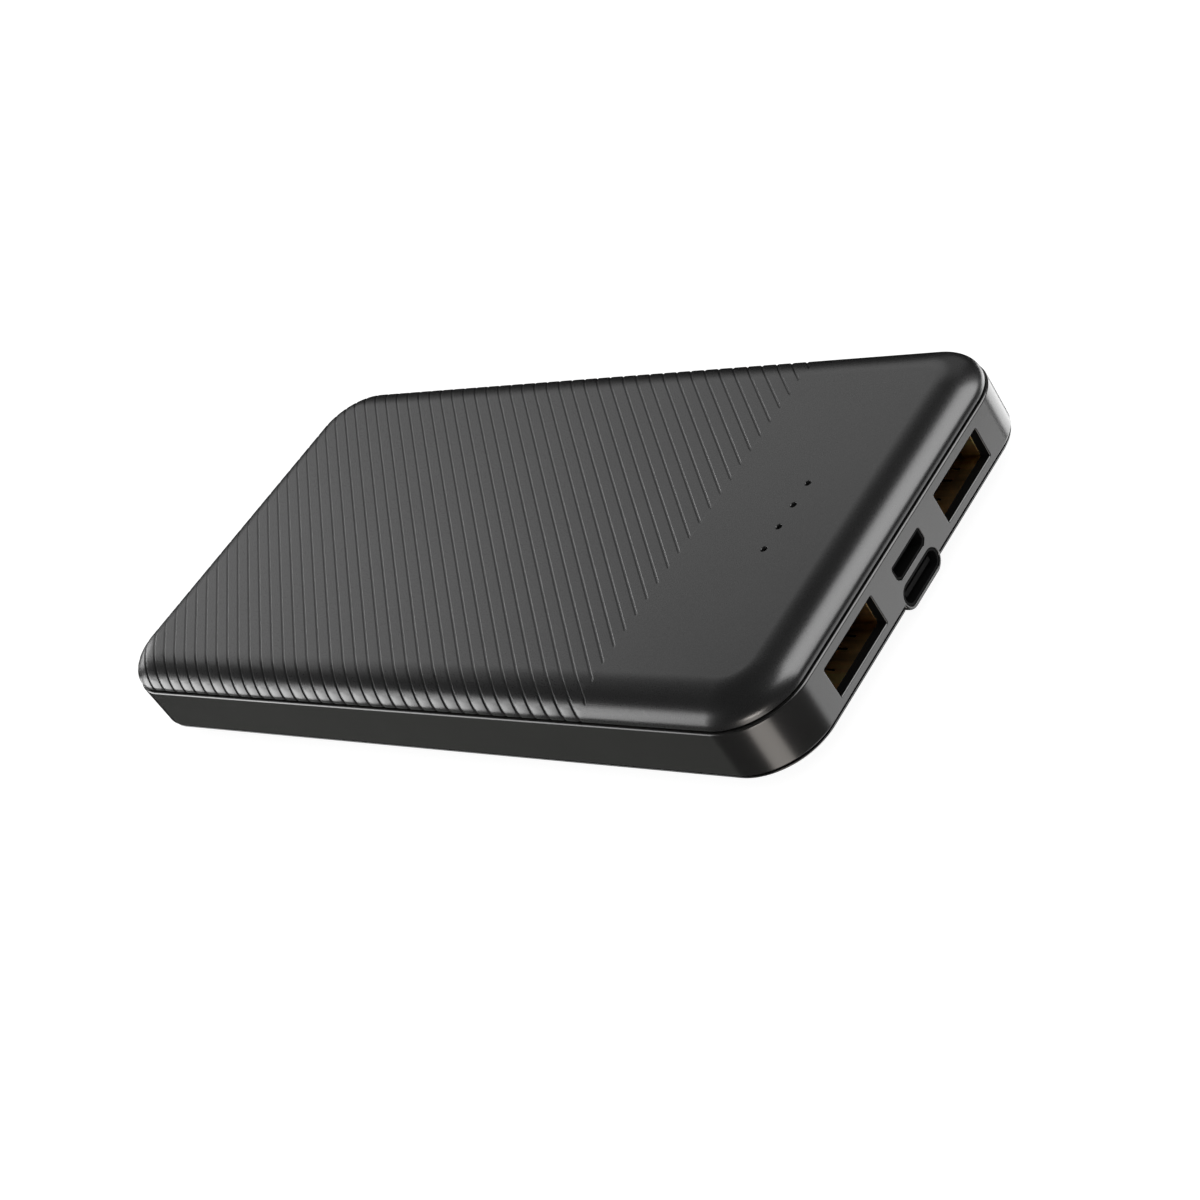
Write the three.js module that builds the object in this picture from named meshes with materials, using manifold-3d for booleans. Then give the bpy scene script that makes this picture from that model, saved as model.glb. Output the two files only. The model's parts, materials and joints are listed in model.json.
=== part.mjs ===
// A slim pocket power bank: a flat pouch cell and a small circuit board between two pillow-edged covers
// and a middle frame. Two USB-A sockets, a micro-USB and a USB-C socket open through the frame's front
// end. Millimetres: +X is the socket end, +Z is up, and the origin is under the middle of the underside.

import Module from 'manifold-3d';
import * as THREE from 'three';
import { ConvexGeometry } from 'three/addons/geometries/ConvexGeometry.js';
import { mergeVertices } from 'three/addons/utils/BufferGeometryUtils.js';

const wasm = await Module();
wasm.setup();

// ---- Driving dimensions: the case ----
const LENGTH = 136;
const WIDTH = 68;
const CORNER_RADIUS = 9.6;
const FRAME_HEIGHT = 7.56;
const FRAME_CHAMFER = 0.25;
const COVER_RISE = 3.77; // how far each cover stands off the frame
const COVER_INSET = 0.25; // how far a cover's lip is set back from the frame's side
const COVER_LIP = 0.62; // height of the upright lip below the curved edge
const PILLOW_RUN = 5.85; // how far in the curved edge reaches
const WALL = 1.5;
const FACE_WALL = 1.4; // thickness of the covers' flat faces
const PARTING_GAP = 0.12; // between a cover's lip and the frame

// ---- Driving dimensions: the sockets ----
const USB_A = { y: 15.15, z: 7.41, width: 12.5, height: 4.75, depth: 14, cornerRadius: 0.2 };
const USB_A_SHELL = { width: 12.4, height: 5, lift: 0.225, cornerRadius: 0.4 }; // its inside
const MICRO_USB = { z: 7.95, width: 7, height: 1.9, depth: 5.5, chamferY: 0.62, chamferZ: 0.5 };
const USB_C = { z: 4.17, width: 8.4, height: 2.5, depth: 8.4 };
const USB_C_TAB = { halfWidth: 4.97, bottom: 2.04, radius: 2, depth: 3.8 }; // the frame's tab round it
const SHELL_WALL = 0.3;
const MICRO_SHELL_WALL = 0.25;
const SHELL_CLEARANCE = 0.08; // between a small socket's shell and the frame
const SMALL_SOCKET_SETBACK = 0.1; // the small sockets end just behind the frame's face

// ---- Driving dimensions: the inside ----
const BOARD = { rear: 43.6, front: 66.2, halfWidth: 29, bottom: 5.85, thickness: 0.8, chamfer: 5 };
const CELL = { rear: -63, front: 37, width: 60, bottom: 2, thickness: 11, corner: 3, edge: 2 };
const PAD = { length: 92, width: 46, thickness: 0.5, corner: 3 };
const LED = { x: 52.2, pitch: 4.04, length: 0.8, width: 1.6, height: 0.6 };
const PINHOLE_RADIUS = 0.45;
const KEY = { x: 52.2, z: 7.5, width: 10, height: 2.6, proud: 0.4, gap: 0.2 };
const SWITCH = { length: 4.7, depth: 3.5, height: 1.6, front: 29.1 };
const SCREW = { radius: 0.8, headRadius: 1.8, headHeight: 1.1 };
const SCREW_SLOT = { length: 2.4, width: 0.5, depth: 0.6 };
const SCREW_STATIONS = [[46.6, 25.5], [62.5, 25.5], [46.6, -25.5], [62.5, -25.5]];

// ---- Levels and faces that follow from them ----
const FRAME_BOTTOM = COVER_RISE;
const FRAME_TOP = FRAME_BOTTOM + FRAME_HEIGHT;
const OVERALL_HEIGHT = FRAME_TOP + COVER_RISE;
const FRONT = LENGTH / 2;
const SIDE = WIDTH / 2;
const BOARD_TOP = BOARD.bottom + BOARD.thickness;
const FIT_GAP = 0.05; // between pieces that rest on each other
const REACH = 1; // how far a cutting tool runs past the face that it cuts
const BITE = 0.3; // how far a rib, boss or hook is sunk into the wall that carries it
const PINHOLE_STATIONS = [-1.5, -0.5, 0.5, 1.5].map((step) => step * LED.pitch);

// ---- Resolution of the curved stretches ----
const CORNER_STEPS = 5;
const PILLOW_STEPS = 7;
const SMALL_STEPS = 3;

// ---- Finishes ----
const FINISHES = {
  cover: { color: 0x2a2a2b, roughness: 0.45, metalness: 0 },
  frame: { color: 0x303031, roughness: 0.3, metalness: 0.1 },
  cellFilm: { color: 0xb9bcc0, roughness: 0.35, metalness: 0.8 },
  tape: { color: 0xc78a2a, roughness: 0.4, metalness: 0 },
  foam: { color: 0x3a3d42, roughness: 0.95, metalness: 0 },
  nickel: { color: 0xc9c6bf, roughness: 0.35, metalness: 1 },
  redLead: { color: 0xb3201c, roughness: 0.6, metalness: 0 },
  blackLead: { color: 0x141414, roughness: 0.6, metalness: 0 },
  board: { color: 0x12492c, roughness: 0.4, metalness: 0 },
  shell: { color: 0x8d8578, roughness: 0.25, metalness: 1 },
  insulator: { color: 0x101010, roughness: 0.5, metalness: 0 },
  contact: { color: 0xd2a548, roughness: 0.25, metalness: 1 },
  ledBody: { color: 0xf2f0e6, roughness: 0.35, metalness: 0 },
  lightGuide: { color: 0xdfe3e6, roughness: 0.1, metalness: 0 },
  ferrite: { color: 0x3c3c40, roughness: 0.7, metalness: 0.2 },
  chip: { color: 0x17181a, roughness: 0.55, metalness: 0 },
  ceramic: { color: 0xb08d63, roughness: 0.5, metalness: 0 },
  steel: { color: 0xa9adb2, roughness: 0.3, metalness: 1 },
};

const bank = new THREE.Group();

// Adds one piece of the object to the model.
function addPiece(name, finish, geometry) {
  const material = new THREE.MeshStandardMaterial({ ...FINISHES[finish], flatShading: true });
  const mesh = new THREE.Mesh(geometry, material);
  mesh.name = name;
  bank.add(mesh);
}

// ---- Joining and cutting closed geometries ----

function solidOf(geometry) {
  const bare = geometry.clone();
  bare.deleteAttribute('normal');
  bare.deleteAttribute('uv');
  const merged = mergeVertices(bare);
  const vertProperties = new Float32Array(merged.getAttribute('position').array);
  const triVerts = new Uint32Array(merged.getIndex().array);
  return new wasm.Manifold(new wasm.Mesh({ numProp: 3, vertProperties, triVerts }));
}

function geometryOf(solid) {
  const mesh = solid.getMesh();
  const geometry = new THREE.BufferGeometry();
  geometry.setAttribute('position', new THREE.BufferAttribute(mesh.vertProperties, 3));
  geometry.setIndex(new THREE.BufferAttribute(mesh.triVerts, 1));
  return geometry;
}

function join(first, ...others) {
  return geometryOf(others.reduce((whole, other) => whole.add(solidOf(other)), solidOf(first)));
}

function cut(first, ...tools) {
  return geometryOf(tools.reduce((rest, tool) => rest.subtract(solidOf(tool)), solidOf(first)));
}

// What of one geometry lies inside another.
function within(geometry, bound) {
  return geometryOf(solidOf(geometry).intersect(solidOf(bound)));
}

// ---- Outlines ----

// A rectangle with round corners, centred on the origin.
function roundedRectangle(width, height, radius) {
  const x = width / 2 - radius;
  const y = height / 2 - radius;
  const quarter = Math.PI / 2;
  const shape = new THREE.Shape();
  [[x, y], [-x, y], [-x, -y], [x, -y]].forEach(([cx, cy], turn) => {
    shape.absarc(cx, cy, radius, turn * quarter, (turn + 1) * quarter);
  });
  return shape;
}

// A rectangle with half-round ends.
function stadium(width, height) {
  const shortestStraight = 0.01;
  return roundedRectangle(width, height, (height - shortestStraight) / 2);
}

function polygon(points) {
  return new THREE.Shape(points.map(([x, y]) => new THREE.Vector2(x, y)));
}

// The plan outline of the case, drawn in by an inset.
function caseOutline(inset) {
  return roundedRectangle(LENGTH - 2 * inset, WIDTH - 2 * inset, CORNER_RADIUS - inset);
}

// The micro-USB opening, full width at the top and chamfered below, with all its sides moved out by a margin.
function microOutline(margin) {
  const lean = Math.atan2(MICRO_USB.chamferY, MICRO_USB.chamferZ);
  const halfWidth = MICRO_USB.width / 2 + margin;
  const top = MICRO_USB.height / 2 + margin;
  const chamferTop = MICRO_USB.chamferZ - MICRO_USB.height / 2 - margin * Math.tan(lean / 2);
  const spread = margin * Math.tan((Math.PI / 2 - lean) / 2);
  const foot = MICRO_USB.width / 2 - MICRO_USB.chamferY + spread;
  return polygon([
    [halfWidth, top], [-halfWidth, top], [-halfWidth, chamferTop],
    [-foot, -top], [foot, -top], [halfWidth, chamferTop],
  ]);
}

function usbCOutline(margin) {
  return stadium(USB_C.width + 2 * margin, USB_C.height + 2 * margin);
}

// ---- Basic solids ----

// A box between two corners.
function block(low, high) {
  const size = high.map((value, axis) => value - low[axis]);
  const middle = high.map((value, axis) => (value + low[axis]) / 2);
  return new THREE.BoxGeometry(...size).translate(...middle);
}

// A box given by its middle, standing on a level.
function standingBlock(x, y, level, length, width, height) {
  return new THREE.BoxGeometry(length, width, height).translate(x, y, level + height / 2);
}

// An outline in plan, between two levels.
function slab(shape, from, to, curveSegments = SMALL_STEPS) {
  const settings = { depth: to - from, bevelEnabled: false, curveSegments };
  return new THREE.ExtrudeGeometry(shape, settings).translate(0, 0, from);
}

// An outline in the YZ plane, centred at a side position and a height, between two X positions.
function frontwardBar(shape, y, z, from, to, curveSegments = SMALL_STEPS) {
  const toFront = new THREE.Matrix4().makeBasis(
    new THREE.Vector3(0, 1, 0),
    new THREE.Vector3(0, 0, 1),
    new THREE.Vector3(1, 0, 0),
  );
  return slab(shape, from, to, curveSegments).applyMatrix4(toFront).translate(0, y, z);
}

// An outline in the XZ plane, centred at an X and a height, between two Y positions.
function sidewardBar(shape, x, z, from, to, curveSegments = SMALL_STEPS) {
  const toSide = new THREE.Matrix4().makeBasis(
    new THREE.Vector3(-1, 0, 0),
    new THREE.Vector3(0, 0, 1),
    new THREE.Vector3(0, 1, 0),
  );
  return slab(shape, from, to, curveSegments).applyMatrix4(toSide).translate(x, 0, z);
}

// An upright round post between two levels.
function post(x, y, radius, from, to, sides = 12) {
  const cylinder = new THREE.CylinderGeometry(radius, radius, to - from, sides);
  return cylinder.rotateX(Math.PI / 2).translate(x, y, (from + to) / 2);
}

// An outline whose upper and lower edges are drawn in by elliptical curves, from z = 0 up to a height.
function cushion(shape, height, run, rise, steps, curveSegments) {
  const settings = {
    depth: height - 2 * rise,
    bevelThickness: rise,
    bevelSize: run,
    bevelOffset: -run,
    bevelSegments: steps,
    curveSegments,
  };
  return new THREE.ExtrudeGeometry(shape, settings).translate(0, 0, rise);
}

// ---- Covers ----

const SKIRT_GAP = 0.15; // between the ring that enters the frame and the frame's inside
const SKIRT = { inset: WALL + SKIRT_GAP, wall: 1, depth: 1.4 };
const SKIRT_ROOT = { top: 1.5, bottom: 0.8 }; // how far the skirt is sunk into each cover
const SKIRT_BREAK = { halfWidth: 23, depth: 4 }; // where the skirt leaves room for the sockets
const HOOK = { length: 6, height: 0.6, reach: 0.3, drop: 0.85, gap: 0.2 };
const HOOK_STATIONS = [-48, -16, 16];
const BOSS_RADIUS = 2.2;
const SCREW_HOLE_GAP = 0.15;
const STOP_RIB = { from: 41.8, to: 42.9, halfWidth: 24, top: 5.4 }; // between the cell and the board
const TAB_NOTCH = { gap: 0.25, depth: 5 };
const BELLY = { lip: 0.42, slope: 0.66, straightRun: 2.6, steps: 5 }; // the bottom cover's sloping side

// The snap hooks round a skirt, or the pockets for them when a gap is added.
function hookBlocks(level, gap) {
  const halfLength = HOOK.length / 2 + gap;
  const halfHeight = HOOK.height / 2 + gap;
  const inner = SKIRT.inset + BITE;
  const outer = SKIRT.inset - HOOK.reach - gap;
  const low = level - halfHeight;
  const high = level + halfHeight;
  const blocks = [block([outer - FRONT, -halfLength, low], [inner - FRONT, halfLength, high])];
  for (const x of HOOK_STATIONS) {
    blocks.push(block([x - halfLength, outer - SIDE, low], [x + halfLength, inner - SIDE, high]));
    blocks.push(block([x - halfLength, SIDE - inner, low], [x + halfLength, SIDE - outer, high]));
  }
  return blocks;
}

// A flat pebble about z = 0: the case outline with an upright lip and curved edges above and below.
function pebble(inset, run, rise) {
  const height = 2 * (COVER_LIP + rise);
  return cushion(caseOutline(inset), height, run, rise, PILLOW_STEPS, CORNER_STEPS)
    .translate(0, 0, -height / 2);
}

// The bottom cover's outside, or its inside when it is lowered by a wall: an upright lip, a straight slope
// inwards, and a curve that eases the slope into the flat face. It is convex, so it is wrapped round outlines.
function belly(lowered, below = REACH) {
  const { lip, slope, straightRun, steps } = BELLY;
  const curveStart = lip + slope * straightRun;
  const curveRun = 2 * (COVER_RISE - curveStart) / slope;
  const lipRun = lowered > lip ? (lowered - lip) / slope : 0;
  const levels = [[lipRun, -below], [lipRun, lip + slope * lipRun]];
  for (let step = 0; step <= steps; step += 1) {
    const share = step / steps;
    const rise = slope * curveRun * (share - share * share / 2);
    levels.push([straightRun + curveRun * share, curveStart + rise]);
  }
  const points = levels.flatMap(([run, height]) => (
    caseOutline(COVER_INSET + run).getPoints(CORNER_STEPS)
      .map(({ x, y }) => new THREE.Vector3(x, y, height - lowered))
  ));
  return new ConvexGeometry(points);
}

// The ring under a cover that enters the frame, left open behind the sockets.
function coverSkirt(root) {
  const low = -SKIRT.depth - REACH;
  const high = root + REACH;
  return cut(
    slab(caseOutline(SKIRT.inset), -SKIRT.depth, root, CORNER_STEPS),
    slab(caseOutline(SKIRT.inset + SKIRT.wall), low, high, CORNER_STEPS),
    block(
      [FRONT - SKIRT_BREAK.depth, -SKIRT_BREAK.halfWidth, low],
      [FRONT, SKIRT_BREAK.halfWidth, high],
    ),
  );
}

// One cover, face up, with the frame's top face at z = 0.
function coverShell(outside, inside, skirtRoot) {
  const otherHalf = block([-LENGTH, -WIDTH, -COVER_RISE - REACH], [LENGTH, WIDTH, PARTING_GAP]);
  return join(cut(outside, inside, otherHalf), coverSkirt(skirtRoot), ...hookBlocks(-HOOK.drop, 0));
}

function topCover() {
  const rise = COVER_RISE - COVER_LIP;
  const shell = coverShell(
    pebble(COVER_INSET, PILLOW_RUN, rise),
    pebble(COVER_INSET + WALL, PILLOW_RUN - WALL, rise - FACE_WALL),
    SKIRT_ROOT.top,
  );
  const inside = OVERALL_HEIGHT - FACE_WALL;
  const holes = PINHOLE_STATIONS.map((y) => (
    post(LED.x, y, PINHOLE_RADIUS, inside - REACH, OVERALL_HEIGHT + REACH)
  ));
  return cut(shell.translate(0, 0, FRAME_TOP), ...holes);
}

function bottomCover() {
  const shell = coverShell(belly(0), belly(FACE_WALL), SKIRT_ROOT.bottom);
  shell.rotateX(Math.PI).translate(0, 0, FRAME_BOTTOM);
  const bossBound = belly(0, OVERALL_HEIGHT).rotateX(Math.PI).translate(0, 0, FRAME_BOTTOM);
  const root = FACE_WALL - BITE;
  const bossTop = BOARD.bottom - FIT_GAP;
  const bosses = SCREW_STATIONS.map(([x, y]) => post(x, y, BOSS_RADIUS, root, bossTop, 20));
  const rib = block(
    [STOP_RIB.from, -STOP_RIB.halfWidth, root],
    [STOP_RIB.to, STOP_RIB.halfWidth, STOP_RIB.top],
  );
  const screwHoles = SCREW_STATIONS.map(([x, y]) => (
    post(x, y, SCREW.radius + SCREW_HOLE_GAP, FACE_WALL + FIT_GAP, bossTop + REACH)
  ));
  const notch = frontwardBar(
    tabOutline(TAB_NOTCH.gap), 0, 0, FRONT - TAB_NOTCH.depth, FRONT + REACH, CORNER_STEPS,
  );
  return cut(join(shell, ...bosses.map((boss) => within(boss, bossBound)), rib), ...screwHoles, notch);
}

// ---- Middle frame ----

// The frame's tab under the USB-C socket, in the YZ plane, grown outwards by a margin.
function tabOutline(margin) {
  const { radius } = USB_C_TAB;
  const halfWidth = USB_C_TAB.halfWidth + margin;
  const bottom = USB_C_TAB.bottom - margin;
  const top = FRAME_BOTTOM + REACH;
  const shape = new THREE.Shape();
  shape.moveTo(halfWidth, top);
  shape.lineTo(-halfWidth, top);
  shape.absarc(-halfWidth + radius, bottom + radius, radius, Math.PI, 1.5 * Math.PI);
  shape.absarc(halfWidth - radius, bottom + radius, radius, 1.5 * Math.PI, 2 * Math.PI);
  return shape;
}

// The cutters for the four sockets and the key, all running right through the frame's wall.
function frameOpenings() {
  const inner = FRONT - WALL - REACH;
  const tabInner = FRONT - USB_C_TAB.depth - REACH;
  const outer = FRONT + REACH;
  const usbC = usbCOutline(SHELL_WALL + SHELL_CLEARANCE);
  const micro = microOutline(MICRO_SHELL_WALL + SHELL_CLEARANCE);
  const usbA = roundedRectangle(USB_A.width, USB_A.height, USB_A.cornerRadius);
  const key = stadium(KEY.width + 2 * KEY.gap, KEY.height + 2 * KEY.gap);
  return [
    frontwardBar(usbC, 0, USB_C.z, tabInner, outer, CORNER_STEPS),
    frontwardBar(micro, 0, MICRO_USB.z, inner, outer),
    frontwardBar(usbA, -USB_A.y, USB_A.z, inner, outer, 1),
    frontwardBar(usbA, USB_A.y, USB_A.z, inner, outer, 1),
    sidewardBar(key, KEY.x, KEY.z, SIDE - WALL - REACH, SIDE + REACH, CORNER_STEPS),
  ];
}

function middleFrame() {
  const band = cushion(caseOutline(0), FRAME_HEIGHT, FRAME_CHAMFER, FRAME_CHAMFER, 1, CORNER_STEPS);
  band.translate(0, 0, FRAME_BOTTOM);
  const hollow = slab(caseOutline(WALL), FRAME_BOTTOM - REACH, FRAME_TOP + REACH, CORNER_STEPS);
  const tab = frontwardBar(tabOutline(0), 0, 0, FRONT - USB_C_TAB.depth, FRONT, CORNER_STEPS);
  return cut(
    join(cut(band, hollow), tab),
    ...frameOpenings(),
    ...hookBlocks(FRAME_TOP - HOOK.drop, HOOK.gap),
    ...hookBlocks(FRAME_BOTTOM + HOOK.drop, HOOK.gap),
  );
}

// ---- Sockets ----

const USB_A_TONGUE = { width: 11.1, thickness: 1.84, topGap: 0.8, setback: 1, backDepth: 3 };
const USB_A_CONTACT = { width: 1, thickness: 0.12, length: 8, setback: 0.6, gap: 0.02 };
const USB_A_CONTACT_STATIONS = [-3.5, -1, 1, 3.5];
const MICRO_TONGUE = { width: 3.7, bottom: 0.1, top: 0.65, setback: 0.9 };
const USB_C_TONGUE = { width: 6.7, bottom: -0.35, top: 0.35, setback: 0.6 };
const SMALL_BACK_DEPTH = 1.6;

// A metal tube of one outline outside and a smaller one inside, open at both ends.
function socketShell(outerShape, innerShape, y, z, from, to, steps) {
  return cut(
    frontwardBar(outerShape, y, z, from, to, steps),
    frontwardBar(innerShape, y, z, from - REACH, to + REACH, steps),
  );
}

function addUsbA(name, y) {
  const front = FRONT - WALL - FIT_GAP;
  const rear = front - USB_A.depth;
  const z = USB_A.z + USB_A_SHELL.lift;
  const { width, height, cornerRadius } = USB_A_SHELL;
  const inner = roundedRectangle(width, height, cornerRadius);
  const outer = roundedRectangle(
    width + 2 * SHELL_WALL,
    height + 2 * SHELL_WALL,
    cornerRadius + SHELL_WALL,
  );
  addPiece(`${name}_shell`, 'shell', socketShell(outer, inner, y, z, rear, front, 2));

  const backShape = roundedRectangle(width - 2 * FIT_GAP, height - 2 * FIT_GAP, cornerRadius);
  const backFront = rear + USB_A_TONGUE.backDepth;
  const tongueTop = z + height / 2 - USB_A_TONGUE.topGap;
  const tongueBottom = tongueTop - USB_A_TONGUE.thickness;
  const tongueFront = front - USB_A_TONGUE.setback;
  addPiece(`${name}_insulator`, 'insulator', join(
    frontwardBar(backShape, y, z, rear, backFront, 2),
    block(
      [backFront - BITE, y - USB_A_TONGUE.width / 2, tongueBottom],
      [tongueFront, y + USB_A_TONGUE.width / 2, tongueTop],
    ),
  ));

  const contactFront = tongueFront - USB_A_CONTACT.setback;
  const contactTop = tongueBottom - USB_A_CONTACT.gap;
  USB_A_CONTACT_STATIONS.forEach((station, index) => {
    const left = y + station - USB_A_CONTACT.width / 2;
    addPiece(`${name}_contact_${index + 1}`, 'contact', block(
      [contactFront - USB_A_CONTACT.length, left, contactTop - USB_A_CONTACT.thickness],
      [contactFront, left + USB_A_CONTACT.width, contactTop],
    ));
  });
}

// One of the two small sockets in the middle: its shell, and the plastic inside it with a thin tongue.
function addSmallSocket(name, outline, wall, socket, tongue) {
  const front = FRONT - SMALL_SOCKET_SETBACK;
  const rear = front - socket.depth;
  const { z } = socket;
  const backFront = rear + SMALL_BACK_DEPTH;
  const shell = socketShell(outline(wall), outline(0), 0, z, rear, front, CORNER_STEPS);
  addPiece(`${name}_shell`, 'shell', shell);
  addPiece(`${name}_insulator`, 'insulator', join(
    frontwardBar(outline(-FIT_GAP), 0, z, rear, backFront, CORNER_STEPS),
    block(
      [backFront - BITE, -tongue.width / 2, z + tongue.bottom],
      [front - tongue.setback, tongue.width / 2, z + tongue.top],
    ),
  ));
}

// ---- Battery cell ----

const CELL_MIDDLE = (CELL.rear + CELL.front) / 2;
const SEAL = { depth: 4, halfWidth: 26, bottom: 6.9, thickness: 0.8 };
const TAPE = { thickness: 0.1, margin: 4, setback: 0.5 };
const TAB = { width: 6, thickness: 0.2, length: 1.8, y: 12, lift: 0.3 };
const LEAD = { radius: 0.8, level: 3.5, reach: 5, rise: 4, spread: 0.7, steps: 10 };

function batteryCell() {
  const shape = roundedRectangle(CELL.front - CELL.rear, CELL.width, CELL.corner);
  return cushion(shape, CELL.thickness, CELL.edge, CELL.edge, 3, SMALL_STEPS)
    .translate(CELL_MIDDLE, 0, CELL.bottom);
}

function foamPad(bottom) {
  const shape = roundedRectangle(PAD.length, PAD.width, PAD.corner);
  return slab(shape, bottom, bottom + PAD.thickness, 2).translate(CELL_MIDDLE, 0, 0);
}

// A short insulated lead that arches from above its tab down to its pad on the board.
function lead(side, start, level) {
  const from = side * TAB.y;
  const to = side * (TAB.y + LEAD.spread);
  const path = new THREE.CubicBezierCurve3(
    new THREE.Vector3(start, from, level),
    new THREE.Vector3(start + LEAD.level, from, level),
    new THREE.Vector3(start + LEAD.reach, to, level + LEAD.rise),
    new THREE.Vector3(start + LEAD.reach, to, BOARD_TOP + BITE),
  );
  const section = new THREE.Shape();
  section.absarc(0, 0, LEAD.radius, 0, 2 * Math.PI);
  const settings = { extrudePath: path, steps: LEAD.steps, curveSegments: 4 };
  return new THREE.ExtrudeGeometry(section, settings);
}

function addCell() {
  const sealRear = CELL.front + FIT_GAP;
  const sealFront = sealRear + SEAL.depth;
  const tapeBottom = SEAL.bottom + SEAL.thickness + FIT_GAP;
  const tapeHalfWidth = SEAL.halfWidth - TAPE.margin;
  addPiece('battery_cell', 'cellFilm', batteryCell());
  addPiece('cell_seal', 'cellFilm', block(
    [sealRear, -SEAL.halfWidth, SEAL.bottom],
    [sealFront, SEAL.halfWidth, SEAL.bottom + SEAL.thickness],
  ));
  addPiece('cell_tape', 'tape', block(
    [sealRear + TAPE.setback, -tapeHalfWidth, tapeBottom],
    [sealFront, tapeHalfWidth, tapeBottom + TAPE.thickness],
  ));

  const tabBottom = SEAL.bottom + TAB.lift;
  const leadLevel = tabBottom + TAB.thickness + LEAD.radius + BITE;
  for (const [name, side, finish] of [['positive', 1, 'redLead'], ['negative', -1, 'blackLead']]) {
    const tab = standingBlock(
      sealFront + FIT_GAP + TAB.length / 2, side * TAB.y, tabBottom, TAB.length, TAB.width, TAB.thickness,
    );
    addPiece(`tab_${name}`, 'nickel', tab);
    addPiece(`lead_${name}`, finish, lead(side, sealFront + LEAD.radius, leadLevel));
  }
  addPiece('foam_pad_lower', 'foam', foamPad(FACE_WALL + FIT_GAP));
  addPiece('foam_pad_upper', 'foam', foamPad(CELL.bottom + CELL.thickness + FIT_GAP));
}

// ---- Circuit board and what it carries ----

const SOCKET_NOTCH = { inner: 8.25, outer: 22.05, rear: 52.2 }; // where a wide socket sinks into the board
const BOARD_HOLE_GAP = 0.3;
const COMPONENT_LEVEL = BOARD_TOP + FIT_GAP;
const COMPONENT_ROW = 47.6;
const INDUCTOR = { size: 7, height: 3, corner: 1.2 };
const CAPACITOR = { length: 1.6, width: 3.2, height: 1.6, spacing: 3.2, y: 17.2 };
const CHIPS = [
  { name: 'power_chip', x: COMPONENT_ROW, y: -7.5, length: 5, width: 5, height: 0.9 },
  { name: 'controller_chip', x: COMPONENT_ROW, y: 7.5, length: 3.9, width: 4.9, height: 1.5 },
  { name: 'protection_chip', x: 56.5, y: -25.8, length: 4.9, width: 3.9, height: 1.5 },
  { name: 'sense_resistor', x: COMPONENT_ROW, y: 21.2, length: 6.3, width: 3.1, height: 0.6 },
];
const GUIDE = { bottom: 7.7, height: 2.6, depth: 2, pinRadius: 0.36, pinSetback: 0.2 };
const GUIDE_LEG = { width: 1, step: 1.85 }; // the step counts in the lights' spacing

function circuitBoard() {
  const { rear, front, halfWidth, chamfer } = BOARD;
  const { inner, outer, rear: notchRear } = SOCKET_NOTCH;
  const half = [
    [rear, halfWidth], [front - chamfer, halfWidth], [front, halfWidth - chamfer],
    [front, outer], [notchRear, outer], [notchRear, inner], [front, inner],
  ];
  const mirrored = half.map(([x, y]) => [x, -y]).reverse();
  const shape = polygon([...half, ...mirrored]);
  for (const [x, y] of SCREW_STATIONS) {
    const hole = new THREE.Path();
    hole.absarc(x, y, SCREW.radius + BOARD_HOLE_GAP, 0, 2 * Math.PI);
    shape.holes.push(hole);
  }
  return slab(shape, BOARD.bottom, BOARD_TOP, 6);
}

// A pan-head screw with a cross in its head.
function boardScrew(x, y) {
  const headTop = COMPONENT_LEVEL + SCREW.headHeight;
  const slotFloor = headTop - SCREW_SLOT.depth;
  const slotHeight = SCREW_SLOT.depth + REACH;
  const tip = FACE_WALL + 2 * BITE;
  return cut(
    join(
      post(x, y, SCREW.headRadius, COMPONENT_LEVEL, headTop, 20),
      post(x, y, SCREW.radius, tip, COMPONENT_LEVEL + BITE),
    ),
    standingBlock(x, y, slotFloor, SCREW_SLOT.length, SCREW_SLOT.width, slotHeight),
    standingBlock(x, y, slotFloor, SCREW_SLOT.width, SCREW_SLOT.length, slotHeight),
  );
}

// The clear bar over the charge lights, with a pin up into each pinhole and a leg at each end.
function lightGuide() {
  const length = PINHOLE_STATIONS.length * LED.pitch;
  const bar = standingBlock(LED.x, 0, GUIDE.bottom, GUIDE.depth, length, GUIDE.height);
  const pinRoot = GUIDE.bottom + GUIDE.height - BITE;
  const pins = PINHOLE_STATIONS.map((y) => (
    post(LED.x, y, GUIDE.pinRadius, pinRoot, OVERALL_HEIGHT - GUIDE.pinSetback, 10)
  ));
  const legHeight = GUIDE.bottom + BITE - COMPONENT_LEVEL;
  const legs = [-GUIDE_LEG.step, GUIDE_LEG.step].map((step) => (
    standingBlock(LED.x, step * LED.pitch, COMPONENT_LEVEL, GUIDE.depth, GUIDE_LEG.width, legHeight)
  ));
  return join(bar, ...pins, ...legs);
}

function powerInductor() {
  const shape = roundedRectangle(INDUCTOR.size, INDUCTOR.size, INDUCTOR.corner);
  return slab(shape, COMPONENT_LEVEL, COMPONENT_LEVEL + INDUCTOR.height, 2).translate(COMPONENT_ROW, 0, 0);
}

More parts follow.
